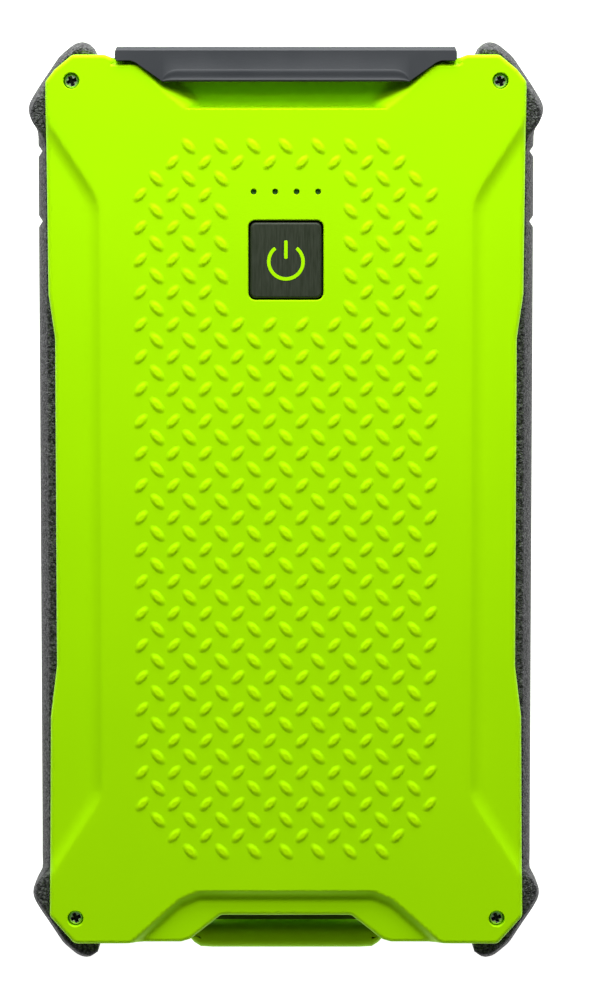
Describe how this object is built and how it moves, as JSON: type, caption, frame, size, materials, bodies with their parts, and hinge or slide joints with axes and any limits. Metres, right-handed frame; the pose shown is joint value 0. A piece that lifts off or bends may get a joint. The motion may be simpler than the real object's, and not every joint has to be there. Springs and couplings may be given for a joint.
{
  "type": "power bank",
  "caption": "Rugged rectangular power bank with two hard treaded covers, a rubber bumper frame, a hinged port door, a push button, charge lights and a lanyard bar.",
  "frame": {"origin": "middle of the rear face, level with that face, midway between the four cover screws", "axes": "+Z out of the front face with the button, +Y towards the port door along the length, +X to the right seen from the front"},
  "size_m": [0.082, 0.1473, 0.0217],
  "materials": {
    "green_cover": "satin moulded neon green with a fine spark texture",
    "bumper_rubber": "grained soft black",
    "seal_rubber": "smooth matte",
    "screw_steel": "dark zinc",
    "insert_brass": "knurled",
    "door_plastic": "satin grey",
    "pin_steel": "ground",
    "black_plastic": "satin",
    "socket_steel": "stamped",
    "white_plastic": "satin",
    "contact_gold": "gold plated",
    "button_dark": "brushed dark anodised",
    "clear_pipe": "frosted clear",
    "led_package": "diffused",
    "board_green": "solder mask",
    "chip_black": "laser marked matte",
    "capacitor_can": "drawn can",
    "lead_red": "extruded",
    "lead_black": "extruded",
    "cell_foil": "dull laminated foil",
    "cell_tape": "paper backed",
    "foam_grey": "open cell foam",
    "tab_nickel": "nickel strip"
  },
  "bodies": {
    "case": {"front_cover": "green_cover", "rear_cover": "green_cover", "bumper_frame": "bumper_rubber", "front_seal": "seal_rubber", "rear_seal": "seal_rubber", "cover_screws": "screw_steel", "threaded_inserts": "insert_brass", "hinge_pin": "pin_steel", "port_bezel": "black_plastic", "usb_a_shell_left": "socket_steel", "usb_a_shell_right": "socket_steel", "usb_a_tongue_left": "white_plastic", "usb_a_tongue_right": "white_plastic", "usb_a_contacts_left": "contact_gold", "usb_a_contacts_right": "contact_gold", "usb_c_shell": "socket_steel", "usb_c_tongue": "black_plastic", "usb_c_contacts": "contact_gold", "button_gasket": "seal_rubber", "button_retainer": "black_plastic", "tact_switch": "black_plastic", "light_pipe": "clear_pipe", "indicator_leds": "led_package", "circuit_board": "board_green", "board_screws": "screw_steel", "control_chips": "chip_black", "power_inductors": "chip_black", "capacitors": "capacitor_can", "battery_header": "white_plastic", "battery_plug": "white_plastic", "battery_lead_positive": "lead_red", "battery_lead_negative": "lead_black", "cell_front": "cell_foil", "cell_rear": "cell_foil", "cell_tape": "cell_tape", "foam_front": "foam_grey", "foam_rear": "foam_grey", "protection_board": "board_green", "cell_tabs": "tab_nickel"},
    "door": {"port_door": "door_plastic", "door_seal": "seal_rubber"},
    "button": {"power_button": "button_dark", "switch_plunger": "white_plastic"}
  },
  "joints": [
    {"name": "door_hinge", "type": "hinge", "parent": "case", "child": "door", "pos_m": [0, 0.0702, 0.004], "axis": [-1, 0, 0], "range_deg": [0, 96]},
    {"name": "button_press", "type": "slide", "parent": "case", "child": "button", "axis": [0, 0, -1], "range_m": [0, 0.0004], "stiffness_N_per_m": 4000, "deforming": ["button_gasket"]}
  ]
}
